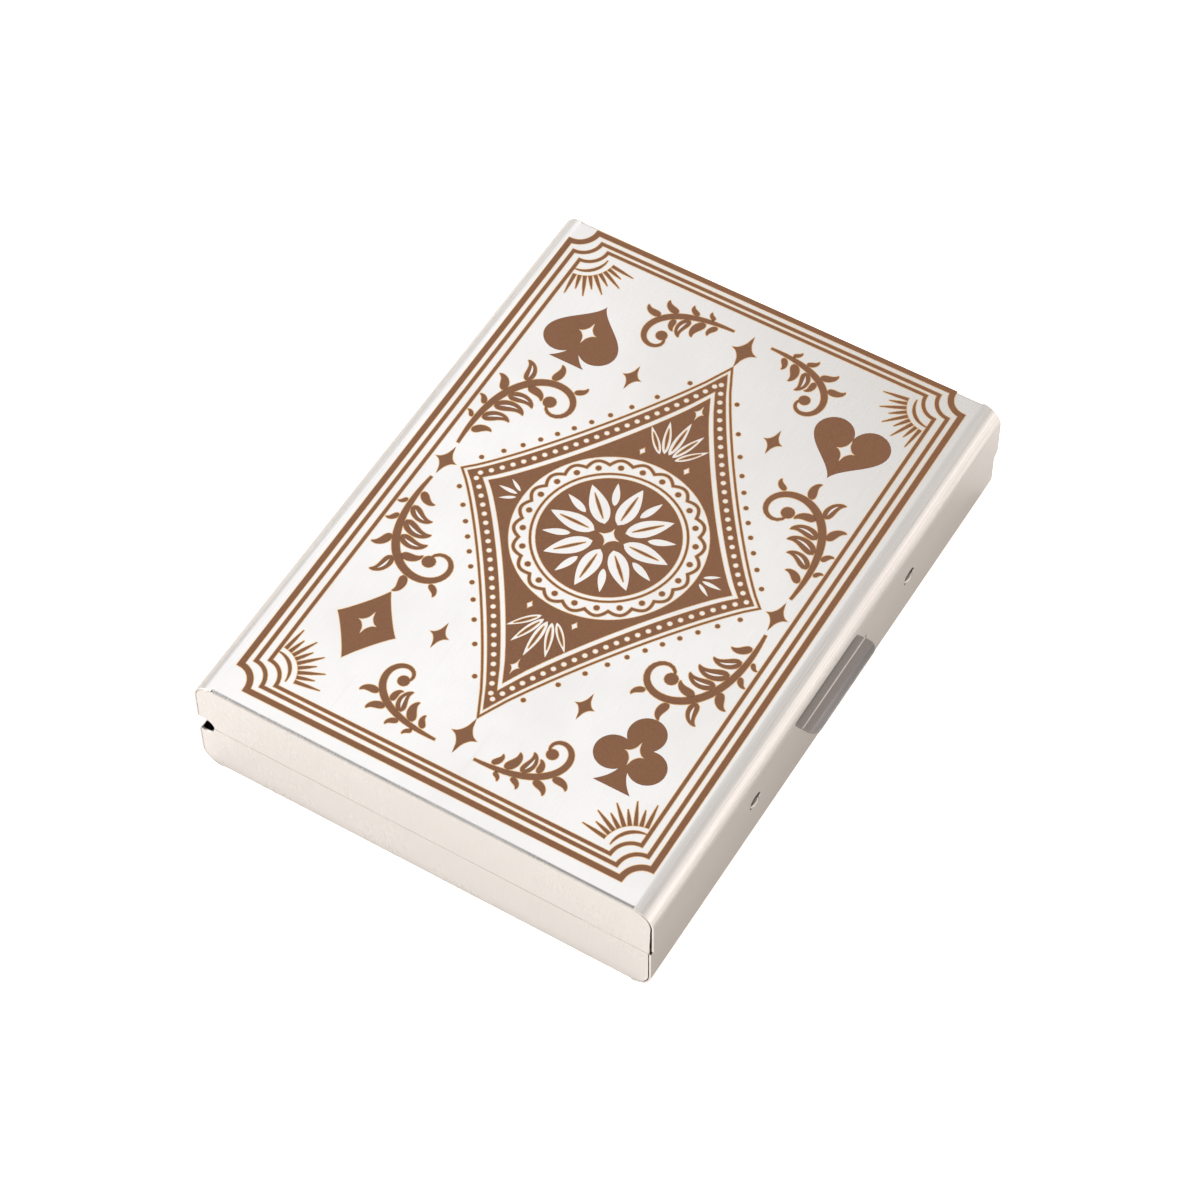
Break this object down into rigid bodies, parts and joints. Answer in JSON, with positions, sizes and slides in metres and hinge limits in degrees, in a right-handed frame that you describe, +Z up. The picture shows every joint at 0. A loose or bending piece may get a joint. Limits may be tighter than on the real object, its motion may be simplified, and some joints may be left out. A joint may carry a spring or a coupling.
{
  "type": "playing card case",
  "caption": "Flat stainless playing-card case: two bent sheet shells on a long-side piano hinge, with a thumb tab and two snap catches.",
  "frame": {"origin": "middle of the flat bottom face, between the outside of the hinge wall and the outside of the lid's latch wall", "axes": "+X from the hinge side to the latch side with the thumb tab, +Y along the long sides, +Z up through the lid"},
  "size_m": [0.0734, 0.095, 0.0184],
  "materials": {
    "shell_steel": "satin stainless sheet with a fine grain",
    "lid_steel": "satin stainless sheet, printed in brown ink on top",
    "hinge_steel": "rolled stainless strip",
    "pin_wire": "drawn stainless wire"
  },
  "bodies": {
    "base": {"base_shell": "shell_steel", "base_hinge_leaf": "hinge_steel", "hinge_pin": "pin_wire"},
    "lid": {"lid_shell": "lid_steel", "lid_hinge_leaf": "hinge_steel"}
  },
  "joints": [
    {"name": "lid_hinge", "type": "hinge", "parent": "base", "child": "lid", "pos_m": [-0.03445, 0, 0.0089], "axis": [0, -1, 0], "range_deg": [0, 100]}
  ]
}
